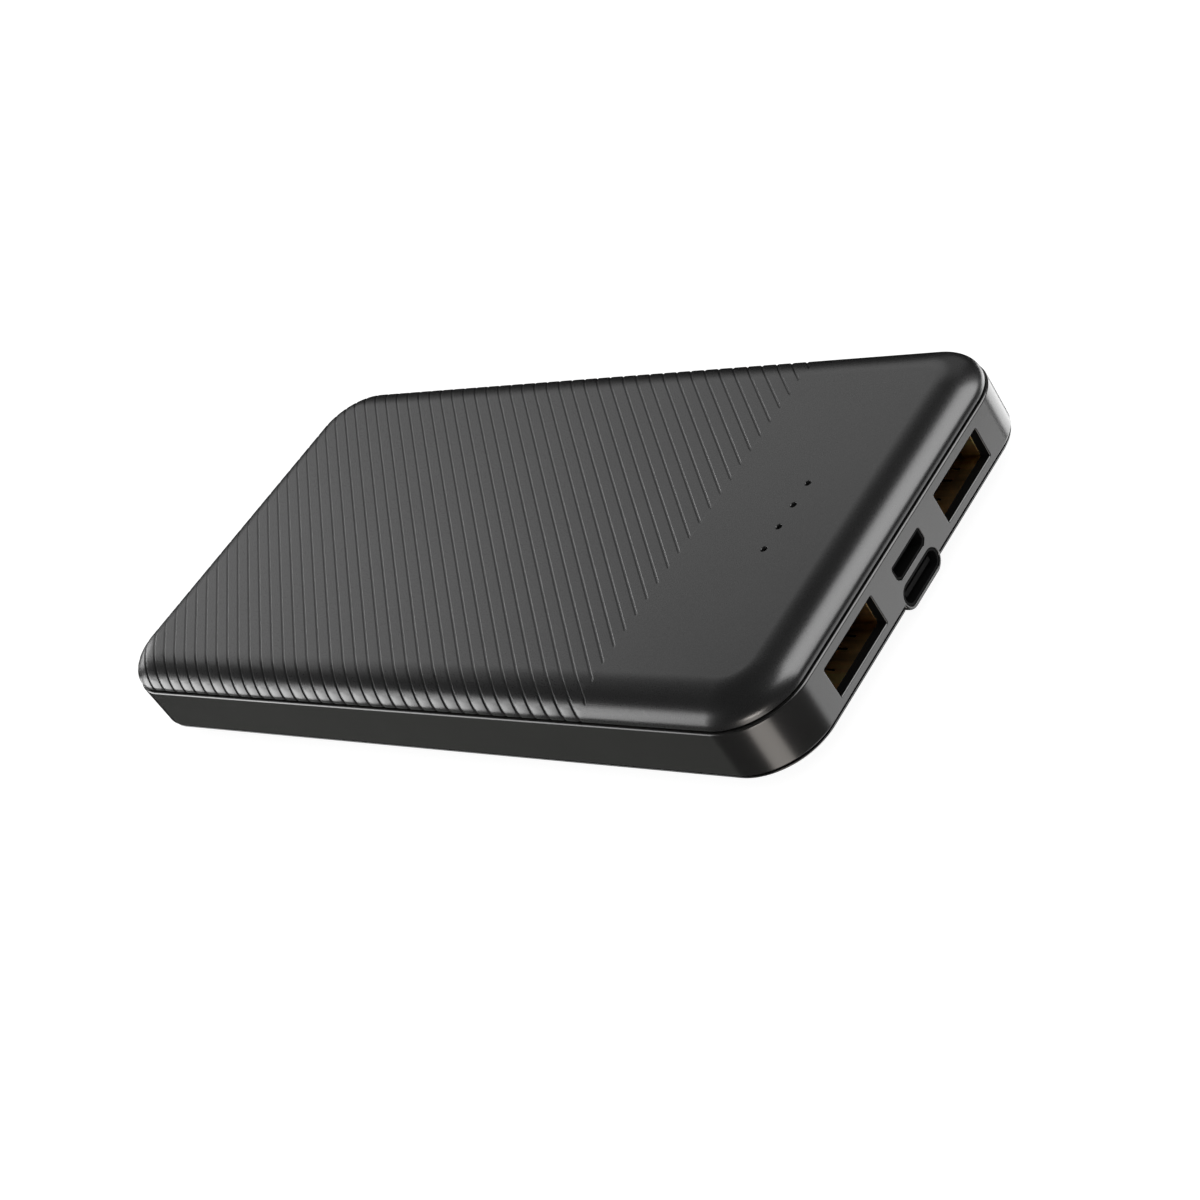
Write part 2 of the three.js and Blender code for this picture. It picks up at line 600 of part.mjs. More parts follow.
function addBoard() {
  const level = COMPONENT_LEVEL;
  addPiece('circuit_board', 'board', circuitBoard());
  addPiece('power_inductor', 'ferrite', powerInductor());
  for (const { name, x, y, length, width, height } of CHIPS) {
    addPiece(name, 'chip', standingBlock(x, y, level, length, width, height));
  }
  [[-1, -1], [1, -1], [-1, 1], [1, 1]].forEach(([along, side], index) => {
    const x = COMPONENT_ROW + along * CAPACITOR.spacing / 2;
    const capacitor = standingBlock(
      x, side * CAPACITOR.y, level, CAPACITOR.length, CAPACITOR.width, CAPACITOR.height,
    );
    addPiece(`capacitor_${index + 1}`, 'ceramic', capacitor);
  });
  PINHOLE_STATIONS.forEach((y, index) => {
    const led = standingBlock(LED.x, y, level, LED.length, LED.width, LED.height);
    addPiece(`led_${index + 1}`, 'ledBody', led);
  });
  addPiece('light_guide', 'lightGuide', lightGuide());
  SCREW_STATIONS.forEach(([x, y], index) => {
    addPiece(`board_screw_${index + 1}`, 'steel', boardScrew(x, y));
  });
}

// ---- Power key and the switch behind it ----

const KEY_FLANGE = { marginX: 1, marginZ: 0.8, thickness: 0.8, corner: 1 };
const KEY_STEM = { width: 2.4, height: 1.4, corner: 0.3, gap: 0.1 };
const PLUNGER = { width: 1.8, height: 0.9, tip: 30.8, rear: 27.4 };
const SWITCH_POCKET = { clearance: 0.1, rearWall: 1 };
const DOME = { rimRadius: 0.42, topRadius: 0.2, height: 0.28, gap: 0.02 };

// The key: a round-ended cap through the frame's side, a flange that keeps it in, and a short stem.
function powerKey() {
  const flangeOuter = SIDE - WALL - FIT_GAP;
  const flangeInner = flangeOuter - KEY_FLANGE.thickness;
  const cap = stadium(KEY.width, KEY.height);
  const flange = roundedRectangle(
    KEY.width + 2 * KEY_FLANGE.marginX,
    KEY.height + 2 * KEY_FLANGE.marginZ,
    KEY_FLANGE.corner,
  );
  const stem = roundedRectangle(KEY_STEM.width, KEY_STEM.height, KEY_STEM.corner);
  return join(
    sidewardBar(cap, KEY.x, KEY.z, flangeOuter - BITE, SIDE + KEY.proud, CORNER_STEPS),
    sidewardBar(flange, KEY.x, KEY.z, flangeInner, flangeOuter, 2),
    sidewardBar(stem, KEY.x, KEY.z, PLUNGER.tip + KEY_STEM.gap, flangeInner + BITE, 1),
  );
}

// The switch's housing, with a pocket at its front that the plunger slides in.
function switchBody() {
  const halfWidth = PLUNGER.width / 2 + SWITCH_POCKET.clearance;
  const halfHeight = PLUNGER.height / 2 + SWITCH_POCKET.clearance;
  const pocketRear = SWITCH.front - SWITCH.depth + SWITCH_POCKET.rearWall;
  return cut(
    standingBlock(
      KEY.x, SWITCH.front - SWITCH.depth / 2, COMPONENT_LEVEL, SWITCH.length, SWITCH.depth, SWITCH.height,
    ),
    block(
      [KEY.x - halfWidth, pocketRear, KEY.z - halfHeight],
      [KEY.x + halfWidth, SWITCH.front + REACH, KEY.z + halfHeight],
    ),
  );
}

// The little metal dome between the plunger and the pocket's rear wall, which pushes the plunger back.
function switchDome() {
  const rear = SWITCH.front - SWITCH.depth + SWITCH_POCKET.rearWall + DOME.gap;
  const dome = new THREE.CylinderGeometry(DOME.topRadius, DOME.rimRadius, DOME.height, 12);
  return dome.translate(KEY.x, rear + DOME.height / 2, KEY.z);
}

function addKey() {
  addPiece('power_key', 'frame', powerKey());
  addPiece('key_switch_body', 'insulator', switchBody());
  addPiece('key_switch_plunger', 'ledBody', block(
    [KEY.x - PLUNGER.width / 2, PLUNGER.rear, KEY.z - PLUNGER.height / 2],
    [KEY.x + PLUNGER.width / 2, PLUNGER.tip, KEY.z + PLUNGER.height / 2],
  ));
  addPiece('key_switch_dome', 'steel', switchDome());
}

// ---- The whole object ----

addPiece('top_cover', 'cover', topCover());
addPiece('middle_frame', 'frame', middleFrame());
addPiece('bottom_cover', 'cover', bottomCover());
addUsbA('usb_a_left', -USB_A.y);
addUsbA('usb_a_right', USB_A.y);
addSmallSocket('micro_usb', microOutline, MICRO_SHELL_WALL, MICRO_USB, MICRO_TONGUE);
addSmallSocket('usb_c', usbCOutline, SHELL_WALL, USB_C, USB_C_TONGUE);
addCell();
addBoard();
addKey();

export default bank;
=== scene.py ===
"""Looks of the slim power bank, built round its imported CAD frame.

Mesh code works in millimetres in the row frame and is scaled to metres when a mesh is made.
+X is the socket end, +Z is up, and the underside stands on the floor at z = 0.
"""

import bisect
import json
import math

import bpy
from mathutils import Matrix, Quaternion, Vector

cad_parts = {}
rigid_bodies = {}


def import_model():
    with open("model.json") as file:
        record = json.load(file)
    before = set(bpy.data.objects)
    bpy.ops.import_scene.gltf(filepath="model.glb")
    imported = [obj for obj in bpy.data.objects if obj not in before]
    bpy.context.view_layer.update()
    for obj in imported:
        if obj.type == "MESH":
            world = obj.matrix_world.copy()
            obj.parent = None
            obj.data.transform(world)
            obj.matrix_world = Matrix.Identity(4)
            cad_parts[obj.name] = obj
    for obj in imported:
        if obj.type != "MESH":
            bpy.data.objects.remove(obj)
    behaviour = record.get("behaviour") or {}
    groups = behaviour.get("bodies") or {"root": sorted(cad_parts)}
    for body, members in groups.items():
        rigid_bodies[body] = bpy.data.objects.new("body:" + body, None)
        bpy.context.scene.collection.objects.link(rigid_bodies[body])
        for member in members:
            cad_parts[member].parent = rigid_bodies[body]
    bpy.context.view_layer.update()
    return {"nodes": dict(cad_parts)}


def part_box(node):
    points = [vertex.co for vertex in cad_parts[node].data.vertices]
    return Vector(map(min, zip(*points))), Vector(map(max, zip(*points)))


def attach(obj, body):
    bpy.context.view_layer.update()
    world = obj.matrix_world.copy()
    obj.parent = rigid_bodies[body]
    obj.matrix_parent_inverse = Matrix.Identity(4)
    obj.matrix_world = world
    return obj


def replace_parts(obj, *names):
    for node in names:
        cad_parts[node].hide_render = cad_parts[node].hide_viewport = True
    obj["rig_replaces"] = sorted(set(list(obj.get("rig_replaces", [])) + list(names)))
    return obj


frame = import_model()

MM = 0.001
TINY = 1e-6  # millimetres
SHARP_ANGLE = math.radians(38)


def box_mm(node):
    """The lowest and highest corner of a CAD node, in millimetres."""
    low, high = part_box(node)
    return low / MM, high / MM


# ---- Sizes that the CAD gives ----

frame_low, frame_high = box_mm("middle_frame")
top_high = box_mm("top_cover")[1]

FRONT = frame_high.x
SIDE = -frame_low.y
TOP = top_high.z
CORNER_RADIUS = 9.6
COVER_INSET = FRONT - top_high.x
COVER_RISE = 3.77
FRAME_TOP = TOP - COVER_RISE
FRAME_BOTTOM = COVER_RISE
COVER_LIP = 0.62
PILLOW_RUN = 5.85
PILLOW_RISE = COVER_RISE - COVER_LIP
WALL = 1.5
FACE_WALL = 1.4
PARTING_GAP = 0.34
LED_MIDDLES = [sum(box_mm(f"led_{n}"), Vector()) / 2 for n in (1, 2, 3, 4)]
LED_X = LED_MIDDLES[0].x
LED_Y = [middle.y for middle in LED_MIDDLES]

CORNER_STEPS = 28
PILLOW_STEPS = 26


# ---- Meshes from points and faces ----


def new_piece(name, points, faces):
    """A smooth-shaded mesh object from millimetre points, with the sharper edges kept crisp."""
    mesh = bpy.data.meshes.new(name)
    mesh.from_pydata([Vector(p) * MM for p in points], [], faces)
    mesh.validate()
    mesh.update()
    obj = bpy.data.objects.new(name, mesh)
    bpy.context.scene.collection.objects.link(obj)
    shade(obj)
    return obj


def shade(obj):
    """Shades an object smooth and marks its sharper edges."""
    mesh = obj.data
    mesh.polygons.foreach_set("use_smooth", [True] * len(mesh.polygons))
    mesh.set_sharp_from_angle(angle=SHARP_ANGLE)
    mesh.update()


def bake_modifiers(obj):
    """Makes what the modifiers give the object's own mesh."""
    depsgraph = bpy.context.evaluated_depsgraph_get()
    made = bpy.data.meshes.new_from_object(obj.evaluated_get(depsgraph))
    old = obj.data
    obj.modifiers.clear()
    obj.data = made
    made.name = obj.name
    bpy.data.meshes.remove(old)


def boolean(obj, others, operation="DIFFERENCE"):
    """Cuts the other objects out of this one, or joins them to it, and removes them."""
    for other in others:
        step = obj.modifiers.new("solid", "BOOLEAN")
        step.operation = operation
        step.solver = "EXACT"
        step.object = other
        bake_modifiers(obj)
        mesh = other.data
        bpy.data.objects.remove(other)
        bpy.data.meshes.remove(mesh)
    shade(obj)
    return obj


def weight_normals(obj):
    """Lets the wide faces decide the shading, so that flats look flat next to rounded edges."""
    step = obj.modifiers.new("normals", "WEIGHTED_NORMAL")
    step.mode = "FACE_AREA"
    step.weight = 80
    step.keep_sharp = True


# ---- The case outline ----


def corner_columns(front_stations=()):
    """Points where the outline's normal starts, and that normal, round the case anticlockwise.

    An outline at an inset lies at start + normal * (CORNER_RADIUS - inset).
    """
    cx, cy = FRONT - CORNER_RADIUS, SIDE - CORNER_RADIUS
    columns = []
    for turn, (sx, sy) in enumerate([(1, 1), (-1, 1), (-1, -1), (1, -1)]):
        for step in range(CORNER_STEPS + 1):
            angle = math.radians(90) * (turn + step / CORNER_STEPS)
            columns.append((cx * sx, cy * sy, math.cos(angle), math.sin(angle)))
    for y in sorted(front_stations):
        columns.append((cx, y, 1.0, 0.0))
    return columns


def on_outline(column, inset):
    ox, oy, nx, ny = column
    reach = CORNER_RADIUS - inset
    return ox + nx * reach, oy + ny * reach


# ---- A surface that can be cut along level lines ----


class Skin:
    """Faces over shared points. A cut adds one point to each edge that it crosses."""

    def __init__(self):
        self.points, self.outward, self.faces = [], [], []
        self.middles = {}

    def point(self, place, outward=(0, 0, 0)):
        self.points.append(Vector(place))
        self.outward.append(Vector(outward))
        return len(self.points) - 1

    def ring(self, columns, inset, z, tilt, sink):
        """One point per column; tilt is (outwards, upwards) and sink scales how deep grooves go."""
        row = []
        for column in columns:
            x, y = on_outline(column, inset)
            out = Vector((column[2] * tilt[0], column[3] * tilt[0], tilt[1]))
            row.append(self.point((x, y, z), out.normalized() * sink))
        return row

    def join(self, lower, upper):
        """Quads between two rings; the outside is on the right of going round anticlockwise."""
        count = len(lower)
        for i in range(count):
            j = (i + 1) % count
            self.faces.append([lower[i], lower[j], upper[j], upper[i]])

    def cross(self, a, b, height, level):
        """The point where an edge passes a level, which both of its faces share."""
        key = (min(a, b), max(a, b))
        if key not in self.middles:
            ha, hb = height(self.points[a]), height(self.points[b])
            t = (level - ha) / (hb - ha)
            place = self.points[a].lerp(self.points[b], t)
            self.middles[key] = self.point(place, self.outward[a].lerp(self.outward[b], t))
        return self.middles[key]

    def cut(self, height, levels, where):
        """Splits the faces that `where` accepts along the lines height(point) = level."""
        cache = {}

        def tall(index):
            if index not in cache:
                cache[index] = height(self.points[index])
            return cache[index]

        kept = []
        for face in self.faces:
            if not where([self.points[i] for i in face], [self.outward[i] for i in face]):
                kept.append(face)
                continue
            heights = [tall(i) for i in face]
            first = bisect.bisect_right(levels, min(heights) + TINY)
            last = bisect.bisect_left(levels, max(heights) - TINY)
            rest = face
            for level in levels[first:last]:
                below, above = [], []
                for i, a in enumerate(rest):
                    b = rest[(i + 1) % len(rest)]
                    ha, hb = tall(a), tall(b)
                    (below if ha < level else above).append(a)
                    if (ha < level) != (hb < level):
                        middle = self.cross(a, b, height, level)
                        cache[middle] = level
                        below.append(middle)
                        above.append(middle)
                if len(below) > 2:
                    kept.append(below)
                rest = above
            if len(rest) > 2:
                kept.append(rest)
        self.faces = kept

    def close_edges(self):
        """Gives each face the points that cuts put on its edges from the other side."""

        def expand(a, b):
            middle = self.middles.get((min(a, b), max(a, b)))
            if middle is None or middle in (a, b):
                return []
            return expand(a, middle) + [middle] + expand(middle, b)

        for number, face in enumerate(self.faces):
            full = []
            for i, a in enumerate(face):
                b = face[(i + 1) % len(face)]
                full += [a] + expand(a, b)
            self.faces[number] = full
        self.middles = {}


# ---- Covers ----

GROOVE_PITCH, GROOVE_COUNT = 1.9875, 41  # the count is to each side of the middle
GROOVE_OFFSET = 0.45
GROOVE_ANGLE = math.radians(44.5)
GROOVE_END_X = 38.2
GROOVE_FADE = 0.6
GROOVE_PROFILE = [
    (-0.27, 0.0), (-0.23, 0.008), (-0.17, 0.04), (-0.08, 0.115), (-0.03, 0.135),
    (0.03, 0.135), (0.08, 0.115), (0.17, 0.04), (0.23, 0.008), (0.27, 0.0),
]
SKIRT_INSET, SKIRT_WALL, SKIRT_DEPTH = 1.65, 1.0, 1.4
SKIRT_BREAK_Y = 23.0
SHALLOW_SKIRT = [(2.4, 0.45), (2.0, 0.35), (1.9, 0.3), (1.8, PARTING_GAP)]
LIP_EDGE = 0.08


def across(point):
    """How far a point is across the grooves, which run along (+X, -Y)."""
    return point.x * math.cos(GROOVE_ANGLE) + point.y * math.sin(GROOVE_ANGLE)


def groove_depth(point):
    """How far the grooves sink the cover's outside at a point."""
    offset = (across(point) - GROOVE_OFFSET + GROOVE_PITCH / 2) % GROOVE_PITCH - GROOVE_PITCH / 2
    fade = min(1.0, max(0.0, (GROOVE_END_X - point.x) / GROOVE_FADE))
    fade = fade * fade * (3 - 2 * fade)
    last = GROOVE_PROFILE[0]
    for here in GROOVE_PROFILE:
        if offset <= here[0]:
            if here is last:
                return 0.0
            t = (offset - last[0]) / (here[0] - last[0])
            return fade * (last[1] + t * (here[1] - last[1]))
        last = here
    return 0.0


def quarter(steps, first=0):
    """The sine and cosine of the angles that split a quarter turn."""
    angles = [math.radians(90) * step / steps for step in range(first, steps + 1)]
    return [(math.sin(angle), math.cos(angle)) for angle in angles]


def pillow(inset, run, lip, rise, steps):
    """An elliptical edge from the lip up to the flat face: (inset, z, tilt) for each ring."""
    return [
        (inset + run * (1 - cos), lip + rise * sin, (cos / run, sin / rise))
        for sin, cos in quarter(steps)
    ]


BELLY_LIP, BELLY_EDGE, BELLY_EASE = 0.55, 0.12, 0.18
BELLY_SLOPE, BELLY_STRAIGHT = 0.66, 2.6


def belly(inset, lowered, steps):
    """The bottom cover's sloping side, which a long curve eases into the flat face."""
    start = BELLY_LIP + BELLY_SLOPE * BELLY_STRAIGHT
    run = 2 * (COVER_RISE - start) / BELLY_SLOPE
    rings = []
    for step in range(steps + 1):
        share = step / steps
        rise = BELLY_SLOPE * run * (share - share * share / 2)
        tilt = (BELLY_SLOPE * (1 - share), 1)
        rings.append((inset + BELLY_STRAIGHT + run * share, start + rise - lowered, tilt))
    return rings


def cover_skin(outer, inner, skirt_root):
    """One cover, face up, with the frame's top face at z = 0, as a closed skin.

    outer and inner are rings (inset, z, tilt) from the lip, or from the skirt's root, to the flat.
    """
    half_gap = 0.05
    columns = corner_columns([
        side * SKIRT_BREAK_Y + step for side in (-1, 1) for step in (-half_gap, half_gap)
    ])
    skin = Skin()
    rows = []

    def add(inset, z, tilt=(1.0, 0.0), sink=0.0):
        rows.append(skin.ring(columns, inset, z, tilt, sink))

    for inset, z, _ in reversed(inner):
        add(inset, z)
    skirt_rows = len(rows)
    add(SKIRT_INSET + SKIRT_WALL, skirt_root)
    add(SKIRT_INSET + SKIRT_WALL, -SKIRT_DEPTH)
    add(SKIRT_INSET, -SKIRT_DEPTH)
    add(SKIRT_INSET, PARTING_GAP)
    for sin, cos in quarter(3):
        inset, z = COVER_INSET + LIP_EDGE * (1 - sin), PARTING_GAP + LIP_EDGE * (1 - cos)
        add(inset, z, (1, 0), 1.0)
    for inset, z, tilt in outer:
        add(inset, z, tilt, 1.0)
    # behind the sockets the skirt is left out
    for index, column in enumerate(columns):
        if column[2] == 1.0 and abs(column[1]) < SKIRT_BREAK_Y:
            for row, (inset, z) in zip(rows[skirt_rows:], SHALLOW_SKIRT):
                x, y = on_outline(column, inset)
                skin.points[row[index]] = Vector((x, y, z))
    for lower, upper in zip(rows, rows[1:]):
        skin.join(lower, upper)
    skin.faces.append(list(reversed(rows[0])))
    skin.faces.append(list(rows[-1]))
    return skin


PINHOLE_RADIUS, PINHOLE_EDGE = 0.45, 0.12
PINHOLE_PATCH = 1.2  # half the side of the square that a pinhole is set in
PINHOLE_SIDES = 32


def patch_pinholes(skin, outer_z, inner_z):
    """Opens a round hole with a rounded rim through both flat faces at each light."""

    def is_flat(points, outward):
        return any(all(abs(p.z - z) < TINY for p in points) for z in (outer_z, inner_z))

    def in_strip(points, outward):
        middle = sum(p.x for p in points) / len(points)
        return is_flat(points, outward) and abs(middle - LED_X) < PINHOLE_PATCH

    def ring(y, z, edge, outward=(0, 0, 0)):
        reach = PINHOLE_RADIUS + edge
        angles = [2 * math.pi * k / PINHOLE_SIDES for k in range(PINHOLE_SIDES)]
        return [
            skin.point((LED_X + reach * math.cos(angle), y + reach * math.sin(angle), z), outward)
            for angle in angles
        ]

    skin.cut(lambda p: p.x, [GROOVE_END_X, LED_X - PINHOLE_PATCH, LED_X + PINHOLE_PATCH], is_flat)
    levels = sorted(y + side * PINHOLE_PATCH for y in LED_Y for side in (-1, 1))
    skin.cut(lambda p: p.y, levels, in_strip)
    skin.close_edges()
    kept, squares = [], {}
    for face in skin.faces:
        points = [skin.points[i] for i in face]
        middle = sum(points, Vector()) / len(points)
        found = None
        if in_strip(points, None):
            near = [n for n, y in enumerate(LED_Y) if abs(middle.y - y) < PINHOLE_RADIUS]
            found = near[0] if near else None
        if found is None:
            kept.append(face)
        else:
            squares[found, middle.z > (outer_z + inner_z) / 2] = face
    for number, y in enumerate(LED_Y):
        rims = {}
        for outer in (True, False):
            z, edge = (outer_z, PINHOLE_EDGE) if outer else (inner_z, 0.0)
            rims[outer] = ring(y, z, edge, (0, 0, 1 if outer else 0))
            patch = squares[number, outer]
            frame_patch(skin, kept, patch, rims[outer], Vector((LED_X, y, z)), outer)
        rings = [rims[True]]
        for sin, cos in quarter(4, 1):
            rings.append(ring(y, outer_z - PINHOLE_EDGE * (1 - cos), PINHOLE_EDGE * (1 - sin)))
        rings.append(rims[False])
        for upper, lower in zip(rings, rings[1:]):
            for k in range(PINHOLE_SIDES):
                m = (k + 1) % PINHOLE_SIDES
                kept.append([upper[k], upper[m], lower[m], lower[k]])
    skin.faces = kept


def frame_patch(skin, kept, face, circle, centre, upward):
    """Fills between a square face's border and a circle inside it, a side at a time."""

    def angle_of(index, start=-1.0):
        """The angle of a point round the centre, as the first one past the start."""
        place = skin.points[index] - centre
        angle = math.atan2(place.y, place.x) % (2 * math.pi)
        return angle if angle > start else angle + 2 * math.pi

    def is_corner(index):
        place = skin.points[index] - centre
        return all(abs(abs(reach) - PINHOLE_PATCH) < 100 * TINY for reach in place.xy)

    border = sorted(face, key=angle_of)
    corners = [i for i in border if is_corner(i)]
    steps = len(circle)
    for corner, following in zip(corners, corners[1:] + corners[:1]):
        start = angle_of(corner)
        end = angle_of(following, start)
        between = [i for i in border if i not in corners and angle_of(i, start) < end]
        between.sort(key=lambda i: angle_of(i, start))
        first, last = (round(angle / (2 * math.pi) * steps) for angle in (start, end))
        arc = [circle[k % steps] for k in range(first, last + 1)]
        patch = [corner] + between + [following] + arc[::-1]
        kept.append(patch if upward else patch[::-1])


def top_cover():
    """The upper cover, with its grooves and pinholes."""
    root = SKIRT_INSET + SKIRT_WALL + 0.05
    inner = pillow(COVER_INSET + WALL, PILLOW_RUN - WALL, COVER_LIP, PILLOW_RISE - FACE_WALL, 10)
    outer = pillow(COVER_INSET, PILLOW_RUN, COVER_LIP, PILLOW_RISE, PILLOW_STEPS)
    skin = cover_skin(outer, [ring for ring in inner if ring[0] > root], 1.5)
    for point in skin.points:
        point.z += FRAME_TOP

    def outside(points, outward):
        return any(o.length > 0 for o in outward)

    def grooved(points, outward):
        return outside(points, outward) and sum(p.x for p in points) / len(points) < GROOVE_END_X

    fade_levels = [GROOVE_END_X - GROOVE_FADE * share for share in (1, 0.5, 0)]
    skin.cut(lambda p: p.x, fade_levels, outside)
    skin.close_edges()
    levels = [
        GROOVE_OFFSET + GROOVE_PITCH * k + offset
        for k in range(-GROOVE_COUNT, GROOVE_COUNT)
        for offset, _ in GROOVE_PROFILE
    ]
    skin.cut(across, levels, grooved)
    skin.close_edges()
    patch_pinholes(skin, TOP, TOP - FACE_WALL)
    places = [p - o * groove_depth(p) for p, o in zip(skin.points, skin.outward)]
    return new_piece("cover_top_grooved", places, skin.faces)


def bottom_cover():
    """The lower cover: a skin made face up and turned over."""
    outer = [
        (COVER_INSET, BELLY_LIP - BELLY_EDGE, (1, 0)),
        (COVER_INSET + 0.04, BELLY_LIP, (1, 0.3)),
        (COVER_INSET + BELLY_EASE, BELLY_LIP + BELLY_SLOPE * BELLY_EASE, (1, 1.3)),
    ] + belly(COVER_INSET, 0, 14)
    inner = [(SKIRT_INSET + SKIRT_WALL + 0.3, 0.8, (1, 1))] + belly(COVER_INSET, FACE_WALL, 8)
    skin = cover_skin(outer, inner, 0.6)
    places = [(p.x, p.y, FRAME_BOTTOM - p.z) for p in skin.points]
    faces = [list(reversed(face)) for face in skin.faces]
    return new_piece("cover_bottom", places, faces)


# ---- Bars with one outline along their length ----

OUTLINE_STEPS = 10
RIM_TURN = math.radians(80)
RIM_FLARE = 0.2
CUT_PAST = 1.0  # how far a cutter goes past the walls that it cuts


def rounded(core, radius, steps=OUTLINE_STEPS):
    """An outline that runs at a radius round a convex core; a margin moves all of it outwards."""

    def outline(margin):
        points = []
        reach = radius + margin
        for i, (u, v) in enumerate(core):
            before, after = core[i - 1], core[(i + 1) % len(core)]
            start = math.atan2(v - before[1], u - before[0]) - math.pi / 2
            turned = math.atan2(after[1] - v, after[0] - u) - math.pi / 2 - start
            turned %= 2 * math.pi
            for step in range(steps + 1):
                angle = start + turned * step / steps
                points.append((u + reach * math.cos(angle), v + reach * math.sin(angle)))
        return points

    return outline


def rounded_box(width, height, radius, u=0.0, v=0.0, steps=OUTLINE_STEPS):
    """A rectangle's outline with rounded corners, round the middle (u, v)."""
    du, dv = width / 2 - radius, height / 2 - radius
    core = [(u - du, v - dv), (u + du, v - dv), (u + du, v + dv), (u - du, v + dv)]
    return rounded(core, radius, steps)


def stadium(width, height, u=0.0, v=0.0):
    """An outline with two half-round ends, round the middle (u, v)."""
    reach = (width - height) / 2
    return rounded([(u - reach, v), (u + reach, v)], height / 2, 2 * OUTLINE_STEPS)


AXES = {
    "x": lambda depth, u, v: (depth, u, v),
    "y": lambda depth, u, v: (u, depth, v),
    "z": lambda depth, u, v: (u, v, depth),
}


def bar(name, axis, outline, stations, hollow=False, lift=None):
    """A solid along an axis from stations (depth, margin); a hollow one joins last to first.

    lift(depth) raises the outline on its way, for a bent strip.
    """

    def at(depth, u, v):
        return AXES[axis](depth, u, v + (lift(depth) if lift else 0.0))

    rings = [[at(depth, u, v) for u, v in outline(margin)] for depth, margin in stations]
    count = len(rings[0])
    faces = []
    for n in range(len(rings) if hollow else len(rings) - 1):
        here, there = n * count, (n + 1) % len(rings) * count
        for i in range(count):
            j = (i + 1) % count
            faces.append([here + i, here + j, there + j, there + i])
    if not hollow:
        faces.append(list(reversed(range(count))))
        faces.append([(len(rings) - 1) * count + i for i in range(count)])
    if axis == "y":
        faces = [list(reversed(face)) for face in faces]
    return new_piece(name, [p for ring in rings for p in ring], faces)


def round_end(depth, edge, towards, steps=5):
    """Stations that round a bar's end: at the depth, going the way of +1 or -1."""
    return [(depth - towards * edge * (1 - sin), -edge * (1 - cos)) for sin, cos in quarter(steps)]


def round_bar(name, axis, outline, start, end, edge):
    """A solid from start to end with both ends rounded."""
    head = round_end(start, edge, -1)
    return bar(name, axis, outline, list(reversed(head)) + round_end(end, edge, 1))


def opening(name, axis, outline, inner, face, rim, steps=5):
    """A cutter that goes through a wall and leaves a rounded rim on its outer face."""
    stations = [(inner, 0.0)]
    for step in range(steps):
        angle = RIM_TURN * step / (steps - 1)
        stations.append((face - rim + rim * math.sin(angle), rim * (1 - math.cos(angle))))
    depth, margin = stations[-1]
    flared = margin + RIM_FLARE * math.tan(RIM_TURN)
    stations += [(depth + RIM_FLARE, flared), (depth + CUT_PAST, flared)]
    return bar(name, axis, outline, stations)


# ---- Middle frame ----

FRAME_EDGE = 0.3
RIM, SMALL_RIM = 0.18, 0.08
SHELL_WALL, MICRO_SHELL_WALL, SHELL_CLEARANCE = 0.3, 0.25, 0.08
FLAT_END_Y = 22.0
USB_A_WIDTH, USB_A_HEIGHT, USB_A_RADIUS = 12.5, 4.75, 0.2
USB_A_Y, USB_A_Z = 15.15, 7.41
USB_C_WIDTH, USB_C_HEIGHT, USB_C_Z = 8.4, 2.5, 4.17
MICRO_WIDTH, MICRO_HEIGHT, MICRO_Z = 7.0, 1.9, 7.95
MICRO_CHAMFER_Y, MICRO_CHAMFER_Z, MICRO_RADIUS = 0.62, 0.5, 0.1
KEY_X, KEY_Z = 52.2, 7.5
KEY_WIDTH, KEY_HEIGHT, KEY_GAP = 10.0, 2.6, 0.2
TAB_HALF_WIDTH, TAB_BOTTOM, TAB_RADIUS, TAB_DEPTH = 4.97, 2.04, 2.0, 3.8
NOTCH_DEPTH, NOTCH_GAP = 5.0, 0.25


def tab_outline(margin):
    """The frame's tab that comes down round the lower small socket."""
    top = FRAME_BOTTOM + 1
    side, centre = TAB_HALF_WIDTH - TAB_RADIUS, TAB_BOTTOM + TAB_RADIUS
    points = [(TAB_HALF_WIDTH + margin, top), (-TAB_HALF_WIDTH - margin, top)]
    for middle, start in ((-side, 180), (side, 270)):
        for step in range(OUTLINE_STEPS + 1):
            angle = math.radians(start + 90 * step / OUTLINE_STEPS)
            reach = TAB_RADIUS + margin
            points.append((middle + reach * math.cos(angle), centre + reach * math.sin(angle)))
    return points


def micro_outline():
    """The upper small socket: full width above, chamfered corners below."""
    radius, lean = MICRO_RADIUS, math.atan2(MICRO_CHAMFER_Y, MICRO_CHAMFER_Z)
    top, half = MICRO_HEIGHT / 2 - radius, MICRO_WIDTH / 2 - radius
    low = MICRO_CHAMFER_Z - MICRO_HEIGHT / 2 + radius * math.tan(lean / 2)
    foot = MICRO_WIDTH / 2 - MICRO_CHAMFER_Y - radius * math.tan((math.pi / 2 - lean) / 2)
    core = [(-foot, -top), (foot, -top), (half, low), (half, top), (-half, top), (-half, low)]
    return rounded([(y, MICRO_Z + z) for y, z in core], radius, 4)


